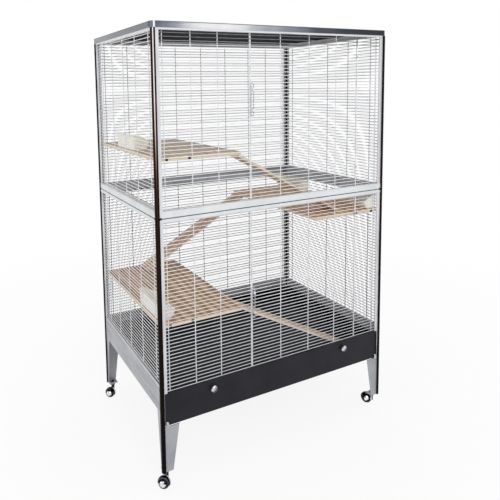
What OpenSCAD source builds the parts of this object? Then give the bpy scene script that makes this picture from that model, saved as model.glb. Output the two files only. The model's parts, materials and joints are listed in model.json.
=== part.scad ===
// Tall two-level wire cage on four ball castors, with doors, shelves, ramps, bowls and a drawer.
// X runs along the front, Y runs from the front to the back, Z is up from the floor.

/* [Cage] */
// Width over the corner posts
cage_w = 950; // [930:2:970]
// Depth over the corner posts
cage_d = 616; // [610:2:630]
// Height from the floor to the top of the rail
cage_h = 1494; // [1480:2:1510]
// Height of the leg feet above the floor
foot_z = 50; // [50:0.5:52]
// Width of a corner post, each way
post_w = 12; // [11:0.5:13]
// Radius of the outer edge of a corner post
post_r = 8; // [4:0.5:10]
// Distance of the sheet parts behind the faces of the posts
panel_set = 5; // [4.5:0.5:6]
// Distance of the wire mesh behind the faces of the posts
mesh_set = 10; // [9:0.5:11]
// Thickness of the folded sheet parts
sheet_t = 1.5; // [1:0.1:1.5]

/* [Legs and bands] */
// Width of the sheet strip beside a post, from the corner
strip_w = 25; // [23:1:28]
// Width of a leg plate at its top, on the front and the back
leg_top_w = 65; // [50:1:70]
// Width of a leg plate at its foot, on the front and the back
leg_foot_w = 40; // [36:1:48]
// Width of a leg plate at its top, on the sides
side_leg_top_w = 47; // [40:1:60]
// Width of a leg plate at its foot, on the sides
side_leg_foot_w = 24; // [20:1:36]
// Height of the outer face of the top rail
rail_h = 19.5; // [18:0.5:22]
// Height of the lip under the top rail
lip_h = 4; // [3:0.5:9]
// Depth of the roof sheet below the top of the rail
roof_drop = 2.5; // [2:0.5:15]
// Height of the seam between the two levels
seam_z = 891.5; // [889:0.5:900]
// Height of the rail above the seam
upper_band_h = 21; // [18:1:24]
// Height of the rail below the seam
lower_band_h = 14; // [12:1:17]
// Height of the inner channels at the middle level
guide_h = 38; // [30:1:38]
// Depth of the inner channels below the rail under the seam
guide_drop = 5; // [0:0.5:5]

/* [Wire mesh] */
// Distance between neighbouring cross wires
wire_pitch = 12; // [12:0.5:14]
// Diameter of a cross wire
wire_d = 2.5; // [2:0.1:2.5]
// Diameter of an upright wire
upright_d = 3; // [2.5:0.1:3]
// Distance between neighbouring upright wires
upright_pitch = 122.5; // [115:0.5:124]
// Distance between the last two upright wires of the front and the back
end_pitch = 96; // [90:1:97]

/* [Doors] */
// Left edge of both doors
door_left = -122.5; // [-123:0.5:-120]
// Right edge of both doors
door_right = 341; // [340:0.5:342]
// Length of a latch loop
latch_len = 109; // [80:1:120]
// Width of a latch loop between its wire centres
latch_w = 10; // [9:0.5:12]
// Height of the middle of the lower latch
latch_low_z = 552; // [450:1:700]
// Height of the middle of the upper latch
latch_high_z = 1250; // [1050:1:1350]

/* [Drawer] */
// Distance of the drawer front behind the faces of the posts
drawer_set = 8; // [7:0.5:9]
// Height of the underside of the drawer front
drawer_z = 208; // [206.5:0.5:210]
// Height of the drawer front
drawer_h = 108; // [104:0.5:109]
// Height of the underside of the tray
tray_z = 254; // [254:0.5:256]
// Height of the tray walls
tray_h = 57.5; // [40:0.5:58]
// Distance of each knob from the middle of the drawer
knob_x = 283; // [200:1:330]
// Height of the underside of the aprons
apron_z = 250; // [248:0.5:250]
// Height of the aprons
apron_h = 93; // [88:1:94]

/* [Shelves, ramps and bowls] */
// Length of a shelf across the cage
shelf_w = 303; // [280:1:310]
// Thickness of a shelf
shelf_t = 12; // [9:0.5:14]
// Heights of the tops of the lower, middle and upper shelf
shelf_tops = [542, 814, 1080];
// Width of a ramp
ramp_w = 82; // [70:1:90]
// Thickness of a ramp board
ramp_t = 8; // [6:0.5:10]
// Depth of the top end of a ramp below the top of its shelf
ramp_step = 7; // [4:0.5:8]
// Slope of the lower ramp in degrees
ramp_slope = 28; // [27:0.5:29]
// Distance of each ramp from the nearer long edge of its shelf: lower, middle, upper
ramp_insets = [28, 9, 40];
// Length of a bowl along the wall
bowl_l = 178; // [150:1:178]
// Depth of a bowl from the wall to its inner side
bowl_w = 65; // [52:1:66]
// Depth of a bowl at its floor, below the leaning inner side
bowl_floor = 50; // [40:1:50]
// Height of a bowl at the wall
bowl_h = 54; // [40:1:57]
// Height of the low inner side of a bowl
bowl_lip = 29; // [20:1:38]
// Depth of the level part of a bowl's rim, next to the wall
bowl_level = 21; // [10:1:30]
// Radius of the rounded corners of a bowl
bowl_corner_r = 8; // [4:1:10]
// Places of the middles of the bowls along the depth: lower, middle front, middle back, upper
bowl_ys = [-173, -202, 201.5, 15];

/* [Castors] */
// Radius of a castor ball
ball_r = 19; // [18:0.5:19]
// Distance from the swivel axis to the middle of the ball
trail = 24; // [23:0.5:24]
// Distance of each swivel axis from the two outer faces of its corner
stem_inset = 22; // [22:0.5:24]

/* [Hidden] */
$fn = 32;
half_w = cage_w / 2;
half_d = cage_d / 2;
fit_gap = 0.05;
clear = 0.3;

rail_z = cage_h - rail_h;
lip_z = rail_z - lip_h;
rail_out = 1.5;
rail_w = 22;
rail_corner_r = 18;
roof_t = 1.5;

seat_gap = 0.1;
band_set = panel_set - sheet_t - seat_gap;
ring_w = 18;
lip_w = 23;
corner_cut = post_w + 0.3;
seam_half = 0.5;
upper_band_z = seam_z + seam_half;
lower_band_z = seam_z - seam_half - lower_band_h;
upper_mesh_z = upper_band_z + upper_band_h;
guide_z = lower_band_z - guide_drop;
guide_set = band_set + ring_w + seat_gap;
guide_d = 18;

fold_d = mesh_set - panel_set - 0.2;
notch_w = post_w + 3;
leg_z = drawer_z - 2;
notch_top = drawer_z + drawer_h + 2;

wire_r = wire_d / 2;
upright_r = upright_d / 2;
weld_gap = 0.02;
upright_y = wire_d + upright_r + weld_gap;
mesh_deep = mesh_set + upright_y + upright_r;
mesh_x = half_w - corner_cut - 4;
mesh_y = half_d - corner_cut - 4;
edge_clear = 3;
side_low_z = apron_z + apron_h;
uprights_front = [for (i = [-2 : 2]) i * upright_pitch];
end_x = 2 * upright_pitch + end_pitch;
outer_x = end_x + end_pitch;
uprights_side = [-272, for (i = [-2 : 2]) i * upright_pitch, 272];

door_edge_gap = 1.85;
mesh_face = -half_d + mesh_set;
hinge_rod_r = 1.5;
hinge_rod_x = door_right - 1;
hinge_rod_y = mesh_face - hinge_rod_r - weld_gap;
hinge_sleeve_r = 2.8;
hinge_sleeve_l = 7;
hinge_gap_n = 5;
hinge_arm_x = hinge_rod_r + clear;
hinge_arm_w = 2.5;
hinge_arm_y = 1;
latch_wire_r = 1.5;
latch_y = mesh_face - 3.2;
latch_axis_x = door_left + latch_w - 1;
latch_eye_r = 3.1;
latch_eye_l = 8;
latch_eye_z = 34;
door_low_z = [notch_top + 3, lower_band_z - 3];
door_high_z = [upper_mesh_z + 3, lip_z - 3];

drawer_x = half_w - notch_w - 0.5;
drawer_y = -half_d + drawer_set;
drawer_t = 12;
drawer_corner_r = 14;
tray_x = half_w - 29;
tray_back = half_d - 24;
tray_front = drawer_y + drawer_t;
knob_r = 13;
knob_len = 17;
knob_z = drawer_z + 82;
catch_r = 5;
catch_x = drawer_x - catch_r - 2;
catch_z = drawer_z + 9;
catch_drop = 14;
tongue_t = 1.5;
tongue_gap = 0.5;
catch_t = drawer_set - panel_set + tongue_gap + tongue_t;
apron_y = half_d - strip_w - 0.5;
apron_x = half_w - strip_w - 0.5;
apron_foot = 16;
apron_head = 13;
rib_n = 5;
rib_pitch = 15;
rib_z = 12;
rib_h = 4;
rib_out = 0.7;
runner_w = 28;
runner_h = 22;

shelf_out = half_w - mesh_deep - 1;
shelf_y = half_d - mesh_deep - 1;
shelf_in = shelf_out - shelf_w;
hook_w = 8;
hook_d = 3.5;
hook_x = [end_x + 9, outer_x - 8];
bowl_t = 2.5;
ramp_lower_y = -shelf_y + ramp_w / 2 + ramp_insets[0];
ramp_middle_y = shelf_y - ramp_w / 2 - ramp_insets[1];
ramp_upper_y = -shelf_y + ramp_w / 2 + ramp_insets[2];
ramp_slopes = [ramp_slope, ramp_slope + 1.4, ramp_slope + 1];
pin_r = 3.5;
pin_in = 9;
pin_drop = ramp_step + 9;
pin_len = 4;
rung_pitch = 50;
rung_h = 2;
rung_l = 9;
bolt_r = 4;
bolt_out = 3;

ball_z = ball_r;
hood_gap = 1.4;
hood_t = 1.6;
hood_tilt = 50;
hood_back = 5;
hood_low = 6;
boss_r = 7;
stem_r = 4;
plate_t = 4;
plate_w = 26;
plate_set = panel_set + sheet_t + seat_gap;
head_r = 6;
head_t = 3;
axle_r = 2.5;
stem_x = half_w - stem_inset;
stem_y = half_d - stem_inset;
trail_fl = 225;
trail_fr = 100;
trail_bl = 225;
trail_br = 45;

light_grey = "#b9bcc0";
silver = "#c9ccd0";
post_dark = "#1a100c";
black = "#0d0d0f";
charcoal = "#2a2a30";
wood = "#d3b48c";
cream = "#ece6d2";
chrome = "#d8dade";

// ---- placing helpers ----

module flip_x(on) {
    if (on) mirror([1, 0, 0]) children();
    else children();
}

module flip_y(on) {
    if (on) mirror([0, 1, 0]) children();
    else children();
}

// Draws its children for the front left corner, with the outer corner at the origin
module at_corner(right, back) {
    flip_x(right) flip_y(back) translate([-half_w, -half_d, 0]) children();
}

// Put its children on one side of the cage, with the outer side of the mesh at y = 0
module on_front() {
    translate([0, -half_d + mesh_set, 0]) children();
}

module on_back() {
    rotate([0, 0, 180]) translate([0, -half_d + mesh_set, 0]) children();
}

module on_left() {
    rotate([0, 0, -90]) translate([0, -half_w + mesh_set, 0]) children();
}

module on_right() {
    rotate([0, 0, 90]) translate([0, -half_w + mesh_set, 0]) children();
}

// ---- corner posts and angles ----

// Square bar with one rounded edge, which is the outer corner of the cage
module corner_post(right, back) {
    color(post_dark)
    at_corner(right, back)
    translate([0, 0, foot_z])
    linear_extrude(rail_z - seat_gap - foot_z) {
        translate([post_r, 0]) square([post_w - post_r, post_w]);
        translate([0, post_r]) square([post_r, post_w - post_r]);
        intersection() {
            translate([post_r, post_r]) circle(post_r);
            square(post_r);
        }
    }
}

// A flat plate that stands beside a post: a tapered leg, a narrow part beside the drawer, and a
// strip with its inner edge folded back to the mesh
module angle_plate(foot_w, top_w, top_z, notch, strip_z) {
    rotate([90, 0, 0])
    translate([0, 0, -panel_set - sheet_t])
    linear_extrude(sheet_t)
    polygon([
        [post_w, foot_z], [foot_w, foot_z], [top_w, top_z], [notch, top_z],
        [notch, strip_z], [strip_w, strip_z], [strip_w, lip_z], [post_w, lip_z]
    ]);
    for (span = [[strip_z, lower_band_z], [upper_mesh_z, lip_z]])
        translate([strip_w - sheet_t, panel_set, span[0]])
        cube([sheet_t, fold_d, span[1] - span[0]]);
}

module corner_angle(right, back) {
    color(light_grey)
    at_corner(right, back) {
        if (back) angle_plate(leg_foot_w, leg_top_w, apron_z, strip_w, side_low_z);
        else angle_plate(leg_foot_w, leg_top_w, leg_z, notch_w, notch_top);
        mirror([1, -1, 0])
        angle_plate(side_leg_foot_w, side_leg_top_w, apron_z, strip_w, side_low_z);
    }
}

// ---- rails, roof and bands ----

module rounded_rect(w, d, r) {
    square([w - 2 * r, d], center = true);
    square([w, d - 2 * r], center = true);
    for (x = [-1, 1], y = [-1, 1])
        translate([x * (w / 2 - r), y * (d / 2 - r)]) circle(r);
}

// Plan of a ring round the cage, from one distance behind the faces to another, cut at the corners
module ring_plan(from_face, to_face, cut) {
    difference() {
        square([cage_w - 2 * from_face, cage_d - 2 * from_face], center = true);
        square([cage_w - 2 * to_face, cage_d - 2 * to_face], center = true);
        for (right = [false, true], back = [false, true])
            at_corner(right, back) translate([-1, -1]) square(cut + 1);
    }
}

// Sheet channels along the four sides that are open towards the inside. Their faces reach the
// posts, and pass in front of the strips
module channel_ring(z, h) {
    translate([0, 0, z]) linear_extrude(h) ring_plan(band_set, band_set + sheet_t, corner_cut);
    for (flange_z = [z, z + h - sheet_t])
        translate([0, 0, flange_z])
        linear_extrude(sheet_t)
        ring_plan(band_set, band_set + ring_w, strip_w + seat_gap);
}

module top_rail() {
    outer_w = cage_w + 2 * rail_out;
    outer_d = cage_d + 2 * rail_out;
    inner_w = outer_w - 2 * rail_w;
    inner_d = outer_d - 2 * rail_w;
    color(silver)
    difference() {
        union() {
            translate([0, 0, rail_z])
            linear_extrude(rail_h)
            difference() {
                rounded_rect(outer_w, outer_d, rail_corner_r);
                square([inner_w, inner_d], center = true);
            }
            translate([0, 0, lip_z])
            linear_extrude(lip_h + 1)
            ring_plan(band_set, band_set + lip_w, corner_cut);
        }
        translate([0, 0, rail_z + 1])
        linear_extrude(rail_h - 1 - sheet_t)
        difference() {
            rounded_rect(outer_w - 2 * sheet_t, outer_d - 2 * sheet_t, rail_corner_r - sheet_t);
            square([inner_w + 2 * sheet_t, inner_d + 2 * sheet_t], center = true);
        }
    }
}

module roof_panel() {
    w = cage_w + 2 * rail_out - 2 * rail_w - 1;
    d = cage_d + 2 * rail_out - 2 * rail_w - 1;
    color(black)
    translate([-w / 2, -d / 2, cage_h - roof_drop - roof_t])
    cube([w, d, roof_t]);
}

module upper_base_frame() {
    color(light_grey) channel_ring(upper_band_z, upper_band_h);
}

module lower_top_frame() {
    color(light_grey) channel_ring(lower_band_z, lower_band_h);
}

// Inner channel along the middle level, drawn along X with its back at y = 0
module guide_channel(len) {
    color(charcoal)
    translate([-len / 2, 0, guide_z])
    difference() {
        translate([0, -guide_d, 0]) cube([len, guide_d, guide_h]);
        translate([-1, -guide_d - 1, sheet_t])
        cube([len + 2, guide_d + 1 - sheet_t, guide_h - 2 * sheet_t]);
    }
}

module mid_guide_back() {
    translate([0, half_d - guide_set, 0])
    guide_channel(cage_w - 2 * (guide_set + guide_d + 2));
}

module mid_guide_side(right) {
    flip_x(right)
    translate([-half_w + guide_set, 0, 0])
    rotate([0, 0, 90])
    guide_channel(cage_d - 2 * (guide_set + 1));
}

// ---- aprons ----

// Folded sheet with long ribs, drawn along X for a side whose face is at y = 0
module apron(half_len) {
    color(light_grey)
    translate([-half_len, panel_set, apron_z]) {
        cube([2 * half_len, sheet_t, apron_h]);
        cube([2 * half_len, apron_foot, sheet_t]);
        translate([0, 0, apron_h - sheet_t]) cube([2 * half_len, apron_head, sheet_t]);
        for (i = [0 : rib_n - 1])
            translate([0, -rib_out, rib_z + i * rib_pitch]) cube([2 * half_len, 1, rib_h]);
    }
}

module side_apron_left() {
    rotate([0, 0, -90]) translate([0, -half_w, 0]) apron(apron_y);
}

module side_apron_right() {
    rotate([0, 0, 90]) translate([0, -half_w, 0]) apron(apron_y);
}

module back_apron() {
    rotate([0, 0, 180]) translate([0, -half_d, 0]) apron(apron_x);
}

// ---- wire mesh ----

module wire_x(x0, x1, r) {
    translate([x0, 0, 0]) rotate([0, 90, 0]) cylinder(h = x1 - x0, r = r, $fn = 16);
}

module wire_z(z0, z1, r) {
    translate([0, 0, z0]) cylinder(h = z1 - z0, r = r, $fn = 16);
}

// Flat grille with its outer side at y = 0: cross wires, and uprights welded behind them
module mesh(x0, x1, z0, z1, uprights) {
    low = z0 + edge_clear;
    high = z1 - edge_clear;
    n = floor((high - low) / wire_pitch);
    start = (low + high - n * wire_pitch) / 2;
    for (i = [0 : n])
        translate([0, wire_r, start + i * wire_pitch]) wire_x(x0, x1, wire_r);
    for (x = uprights)
        translate([x, upright_y, 0]) wire_z(low, high, upright_r);
}

module back_mesh(z0, z1) {
    color(light_grey)
    on_back()
    mesh(-mesh_x, mesh_x, z0, z1, [-outer_x, -end_x, each uprights_front, end_x, outer_x]);
}

module side_mesh(z0, z1) {
    color(light_grey) mesh(-mesh_y, mesh_y, z0, z1, uprights_side);
}

// Fixed part of the front, left of the door
module front_left(z0, z1) {
    edge = door_left - door_edge_gap;
    color(light_grey)
    on_front()
    mesh(-mesh_x, edge + upright_r, z0, z1, [-outer_x, -end_x, -2 * upright_pitch, edge]);
}

// Fixed part of the front, right of the door
module front_right(z0, z1) {
    edge = door_right + door_edge_gap;
    color(light_grey)
    on_front()
    mesh(edge - upright_r, mesh_x, z0, z1, [edge, outer_x]);
}

// ---- doors and latches ----

// Heights of the two hinges of a door, each in the middle of a gap between two cross wires
function hinge_zs(span) =
    let (
        n = floor((span[1] - span[0]) / wire_pitch),
        start = (span[0] + span[1] - n * wire_pitch) / 2,
        from_end = (hinge_gap_n + 0.5) * wire_pitch
    )
    [start + from_end, start + n * wire_pitch - from_end];

// Grille with its hinge rod in front of the right ends of the cross wires, and the eyes of its latch
module door(span, latch_z) {
    left = door_left + door_edge_gap;
    color(light_grey) {
        on_front()
        mesh(left - upright_r, hinge_rod_x + 0.5, span[0] - edge_clear, span[1] + edge_clear,
            [left, 0, upright_pitch, 2 * upright_pitch]);
        translate([hinge_rod_x, hinge_rod_y, 0]) wire_z(span[0], span[1], hinge_rod_r);
        for (s = [-1, 1])
            translate([latch_axis_x, latch_y, latch_z + s * latch_eye_z])
            difference() {
                union() {
                    wire_z(-latch_eye_l / 2, latch_eye_l / 2, latch_eye_r);
                    translate([-3, 1.8, -wire_pitch / 2]) cube([6, 2.6, wire_pitch]);
                }
                wire_z(-latch_eye_l, latch_eye_l, latch_wire_r + fit_gap);
            }
    }
}

// Sleeve round the hinge rod, with an arm that reaches back to the fixed upright beside the door
module hinge_sleeve(z) {
    arm_d = hinge_arm_y + mesh_face + wire_d - hinge_rod_y;
    translate([hinge_rod_x, hinge_rod_y, z])
    difference() {
        union() {
            wire_z(-hinge_sleeve_l / 2, hinge_sleeve_l / 2, hinge_sleeve_r);
            translate([hinge_arm_x, -hinge_arm_y, -hinge_sleeve_l / 2])
            cube([hinge_arm_w, arm_d, hinge_sleeve_l]);
        }
        wire_z(-hinge_sleeve_l, hinge_sleeve_l, hinge_rod_r + fit_gap);
    }
}

module door_hinges() {
    color(silver)
    for (span = [door_low_z, door_high_z], z = hinge_zs(span))
        hinge_sleeve(z);
}

// Long wire loop that swings about its right bar
module latch(z) {
    bend_r = latch_w / 2;
    bar = latch_len - latch_w - 2 * latch_wire_r;
    color(silver)
    translate([latch_axis_x - bend_r, latch_y, z]) {
        for (s = [-1, 1])
            translate([s * bend_r, 0, 0]) wire_z(-bar / 2, bar / 2, latch_wire_r);
        for (s = [-1, 1])
            translate([0, 0, s * bar / 2])
            rotate([s * 90, 0, 0])
            rotate_extrude(angle = 180)
            translate([bend_r, 0]) circle(latch_wire_r, $fn = 16);
    }
}

// ---- drawer ----

module drawer_outline(inset) {
    w = 2 * (drawer_x - inset);
    h = drawer_h - 2 * inset;
    r = drawer_corner_r - inset;
    translate([0, drawer_z + inset])
    difference() {
        translate([-w / 2, 0]) square([w, h]);
        for (s = [-1, 1])
            translate([s * (w / 2 - r), h - r])
            difference() {
                translate([s > 0 ? 0 : -r - 1, 0]) square(r + 1);
                circle(r);
            }
    }
}

module drawer_front() {
    color(charcoal)
    difference() {
        translate([0, drawer_y + drawer_t, 0])
        rotate([90, 0, 0]) linear_extrude(drawer_t) drawer_outline(0);
        translate([0, drawer_y + drawer_t + 1, 0])
        rotate([90, 0, 0]) linear_extrude(drawer_t + 1 - sheet_t) drawer_outline(sheet_t);
    }
}

module tray() {
    color(black)
    difference() {
        translate([-tray_x, tray_front, tray_z])
        cube([2 * tray_x, tray_back - tray_front, tray_h]);
        translate([-tray_x + sheet_t, tray_front + sheet_t, tray_z + sheet_t])
        cube([2 * (tray_x - sheet_t), tray_back - tray_front - 2 * sheet_t, tray_h]);
    }
}

module drawer_knobs() {
    color(chrome)
    for (s = [-1, 1])
        translate([s * knob_x, drawer_y, knob_z])
        rotate([90, 0, 0])
        rotate_extrude()
        intersection() {
            union() {
                square([knob_r * 0.4, knob_len]);
                translate([0, knob_len - knob_r]) circle(knob_r);
            }
            square([knob_r, knob_len]);
        }
}

// Clips with round heads on the lower corners of the drawer front. Their tongues hang in front of
// the leg plates
module drawer_catches() {
    color(chrome)
    for (s = [-1, 1])
        translate([s * catch_x, drawer_y, catch_z])
        rotate([90, 0, 0]) {
            cylinder(h = catch_t, r = catch_r);
            translate([-catch_r, -catch_drop, catch_t - tongue_t])
            cube([2 * catch_r, catch_drop, tongue_t]);
        }
}

// Angle bars that lie on the feet of the side aprons and carry the tray
module tray_runners() {
    start = panel_set + sheet_t + seat_gap;
    wall = half_w - tray_x - sheet_t - 2.5;
    color(light_grey)
    for (right = [false, true])
        flip_x(right)
        translate([-half_w, -apron_y, apron_z + sheet_t + seat_gap]) {
            translate([start, 0, 0]) cube([runner_w, 2 * apron_y, sheet_t]);
            translate([wall, 0, 0]) cube([sheet_t, 2 * apron_y, runner_h]);
        }
}

// ---- shelves, ramps and bowls ----

module shelf(right, top) {
    color(wood)
    flip_x(right)
    translate([-shelf_out, -shelf_y, top - shelf_t])
    cube([shelf_w, 2 * shelf_y, shelf_t]);
}

// Board with cross battens that leans from the origin down along +X, cut level at its foot
module ramp(slope, drop) {
    len = drop / sin(slope);
    color(wood)
    intersection() {
        rotate([0, slope, 0]) {
            translate([-2 * ramp_t, -ramp_w / 2, -ramp_t]) cube([len + 4 * ramp_t, ramp_w, ramp_t]);
            for (i = [1 : floor(len / rung_pitch) - 1])
                translate([i * rung_pitch, -ramp_w / 2, -1]) cube([rung_l, ramp_w, rung_h + 1]);
        }
        translate([0.2, -ramp_w, -drop + 0.2]) cube([2 * len, 2 * ramp_w, 2 * drop]);
    }
}

module ramp_upper() {
    start = shelf_tops[2] - ramp_step;
    translate([-shelf_in, ramp_upper_y, start]) ramp(ramp_slopes[2], start - shelf_tops[1]);
}

module ramp_middle() {
    start = shelf_tops[1] - ramp_step;
    translate([shelf_in, ramp_middle_y, start])
    mirror([1, 0, 0])
    ramp(ramp_slopes[1], start - shelf_tops[0]);
}

module ramp_lower() {
    start = shelf_tops[0] - ramp_step;
    drop = start - tray_z - sheet_t - clear;
    translate([-shelf_in, ramp_lower_y, start]) ramp(ramp_slopes[0], drop);
}

module bowl_plan(inset) {
    translate([bowl_w / 2, 0])
    rounded_rect(bowl_w - 2 * inset, bowl_l - 2 * inset, bowl_corner_r - inset);
}

// Bar as long as a bowl or longer with this outline, seen from its end, in depth and height
module bowl_bar(outline) {
    rotate([90, 0, 0]) linear_extrude(2 * bowl_l, center = true) polygon(outline);
}

// Trough that hangs on a side wall: open on top, high at the wall, with a low inner side that leans out
module bowl(right, y, shelf_top) {
    lean = (bowl_w - bowl_floor) / bowl_lip;
    in = bowl_floor - bowl_t * sqrt(1 + lean * lean);

    color(cream)
    flip_x(right)
    translate([-shelf_out + 0.5, y, shelf_top + 0.2])
    difference() {
        intersection() {
            linear_extrude(bowl_h) bowl_plan(0);
            bowl_bar([[0, 0], [bowl_floor, 0], [bowl_w, bowl_lip], [bowl_level, bowl_h], [0, bowl_h]]);
        }
        intersection() {
            translate([0, 0, bowl_t]) linear_extrude(bowl_h) bowl_plan(bowl_t);
            bowl_bar([[0, 0], [in, 0], [in + 2 * bowl_h * lean, 2 * bowl_h], [0, 2 * bowl_h]]);
        }
    }
}

// Black hooks at the front and back edges of a shelf, beside the wall
module shelf_hook_row(right, top) {
    for (x = hook_x, back = [false, true])
        flip_x(right)
        flip_y(back)
        translate([-x - hook_w / 2, -shelf_y - hook_d, top - shelf_t + 1])
        cube([hook_w, hook_d, shelf_t - 2]);
}

// Black pins on both sides of the top end of a ramp
module ramp_pins(right, y, top) {
    for (s = [-1, 1])
        flip_x(right)
        translate([-shelf_in + pin_in, y + s * (ramp_w + pin_len) / 2, top - pin_drop])
        rotate([90, 0, 0])
        cylinder(h = pin_len, r = pin_r, center = true);
}

module shelf_hooks() {
    color(black) {
        shelf_hook_row(false, shelf_tops[0]);
        shelf_hook_row(true, shelf_tops[1]);
        shelf_hook_row(false, shelf_tops[2]);
        ramp_pins(false, ramp_lower_y, shelf_tops[0]);
        ramp_pins(true, ramp_middle_y, shelf_tops[1]);
        ramp_pins(false, ramp_upper_y, shelf_tops[2]);
    }
}

// Black bolts across the seam, beside each post
module module_bolts() {
    color(black)
    for (right = [false, true], back = [false, true])
        at_corner(right, back)
        for (side = [false, true])
            mirror(side ? [1, -1, 0] : [0, 0, 0])
            translate([post_w + bolt_r + 0.5, band_set, seam_z])
            rotate([90, 0, 0])
            cylinder(h = bolt_out, r = bolt_r);
}

// ---- castors ----

module caster_plates() {
    color(light_grey)
    for (right = [false, true], back = [false, true])
        at_corner(right, back)
        difference() {
            translate([plate_set, plate_set, foot_z])
            cube([leg_foot_w - plate_set, plate_w, plate_t]);
            translate([stem_inset, stem_inset, foot_z - 1])
            cylinder(h = plate_t + 2, r = stem_r + fit_gap);
            translate([-1, -1, foot_z - 1]) cube([corner_cut + 1, corner_cut + 1, plate_t + 2]);
        }
}

module at_stem(right, back) {
    translate([right ? stem_x : -stem_x, back ? stem_y : -stem_y, 0]) children();
}

// Swivel with its hood, stem and ball axle: the ball trails along +X from the stem
module caster_hood(right, back, turn) {
    shell_r = ball_r + hood_gap;
    color(chrome)
    at_stem(right, back)
    rotate([0, 0, turn]) {
        difference() {
            union() {
                intersection() {
                    translate([trail, 0, ball_z]) sphere(shell_r + hood_t, $fn = 48);
                    translate([trail, 0, ball_z])
                    rotate([0, hood_tilt - 90, 0])
                    translate([-2 * ball_r, -2 * ball_r, -hood_back])
                    cube(4 * ball_r);
                    translate([-ball_r, -2 * ball_r, hood_low]) cube(4 * ball_r);
                }
                translate([0, 0, ball_z + 3]) cylinder(h = foot_z - 0.4 - ball_z - 3, r = boss_r);
            }
            translate([trail, 0, ball_z]) sphere(shell_r, $fn = 48);
        }
        translate([0, 0, foot_z - 4]) cylinder(h = plate_t + 4 + 0.4 + head_t, r = stem_r);
        translate([0, 0, foot_z + plate_t + 0.4]) cylinder(h = head_t, r = head_r);
        translate([trail, 0, ball_z])
        rotate([90, 0, 0])
        cylinder(h = 2 * (shell_r + hood_t / 2), r = axle_r, center = true);
    }
}

module caster_ball(right, back, turn) {
    color(chrome)
    at_stem(right, back)
    rotate([0, 0, turn])
    translate([trail, 0, ball_z])
    difference() {
        sphere(ball_r, $fn = 48);
        rotate([90, 0, 0]) cylinder(h = 3 * ball_r, r = axle_r + fit_gap, center = true);
    }
}

corner_post(false, false);  // corner_post_fl
corner_post(true, false);  // corner_post_fr
corner_post(false, true);  // corner_post_bl
corner_post(true, true);  // corner_post_br
corner_angle(false, false);  // corner_angle_fl
corner_angle(true, false);  // corner_angle_fr
corner_angle(false, true);  // corner_angle_bl
corner_angle(true, true);  // corner_angle_br
top_rail();
roof_panel();
upper_base_frame();
lower_top_frame();
mid_guide_side(false);  // mid_guide_left
mid_guide_side(true);  // mid_guide_right
mid_guide_back();
side_apron_left();
side_apron_right();
back_apron();
on_left() side_mesh(upper_mesh_z, lip_z);  // left_mesh_upper
on_left() side_mesh(side_low_z, lower_band_z);  // left_mesh_lower
on_right() side_mesh(upper_mesh_z, lip_z);  // right_mesh_upper
on_right() side_mesh(side_low_z, lower_band_z);  // right_mesh_lower
back_mesh(upper_mesh_z, lip_z);  // back_mesh_upper
back_mesh(side_low_z, lower_band_z);  // back_mesh_lower
front_left(upper_mesh_z, lip_z);  // front_left_upper
front_right(upper_mesh_z, lip_z);  // front_right_upper
front_left(notch_top, lower_band_z);  // front_left_lower
front_right(notch_top, lower_band_z);  // front_right_lower
door(door_high_z, latch_high_z);  // door_upper
door(door_low_z, latch_low_z);  // door_lower
door_hinges();
latch(latch_high_z);  // latch_upper
latch(latch_low_z);  // latch_lower
tray();
drawer_front();
drawer_knobs();
drawer_catches();
tray_runners();
shelf(false, shelf_tops[2]);  // shelf_upper_left
shelf(true, shelf_tops[1]);  // shelf_middle_right
shelf(false, shelf_tops[0]);  // shelf_lower_left
ramp_upper();
ramp_middle();
ramp_lower();
bowl(false, bowl_ys[3], shelf_tops[2]);  // bowl_upper_left
bowl(true, bowl_ys[2], shelf_tops[1]);  // bowl_middle_back
bowl(true, bowl_ys[1], shelf_tops[1]);  // bowl_middle_front
bowl(false, bowl_ys[0], shelf_tops[0]);  // bowl_lower_left
shelf_hooks();
module_bolts();
caster_plates();
caster_hood(false, false, trail_fl);  // caster_hood_fl
caster_hood(true, false, trail_fr);  // caster_hood_fr
caster_hood(false, true, trail_bl);  // caster_hood_bl
caster_hood(true, true, trail_br);  // caster_hood_br
caster_ball(false, false, trail_fl);  // caster_ball_fl
caster_ball(true, false, trail_fr);  // caster_ball_fr
caster_ball(false, true, trail_bl);  // caster_ball_bl
caster_ball(true, true, trail_br);  // caster_ball_br
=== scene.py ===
"""Looks of the tall two-level wire cage: materials, detailed pieces, floor, lights and camera.

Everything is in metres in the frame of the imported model: X along the front, Y to the back, Z up.
"""

import json
import math

import bmesh
import bpy
from mathutils import Matrix, Vector


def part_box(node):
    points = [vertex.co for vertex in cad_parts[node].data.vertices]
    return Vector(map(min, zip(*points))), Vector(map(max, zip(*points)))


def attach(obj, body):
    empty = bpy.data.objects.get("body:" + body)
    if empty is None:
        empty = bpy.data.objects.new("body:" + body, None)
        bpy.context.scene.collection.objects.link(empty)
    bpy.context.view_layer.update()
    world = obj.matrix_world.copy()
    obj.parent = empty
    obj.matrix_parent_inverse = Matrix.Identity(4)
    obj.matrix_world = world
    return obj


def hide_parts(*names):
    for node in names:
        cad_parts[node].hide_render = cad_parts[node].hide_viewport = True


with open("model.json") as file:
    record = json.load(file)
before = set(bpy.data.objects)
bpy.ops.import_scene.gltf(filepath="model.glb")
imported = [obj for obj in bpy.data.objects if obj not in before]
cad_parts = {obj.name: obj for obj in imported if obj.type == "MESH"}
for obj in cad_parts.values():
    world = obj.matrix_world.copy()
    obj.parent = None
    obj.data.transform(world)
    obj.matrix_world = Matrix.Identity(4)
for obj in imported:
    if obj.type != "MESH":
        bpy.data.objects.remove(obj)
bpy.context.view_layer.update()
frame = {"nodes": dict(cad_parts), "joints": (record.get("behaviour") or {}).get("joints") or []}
NODES = frame["nodes"]
CORNERS = ("fl", "fr", "bl", "br")
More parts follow.
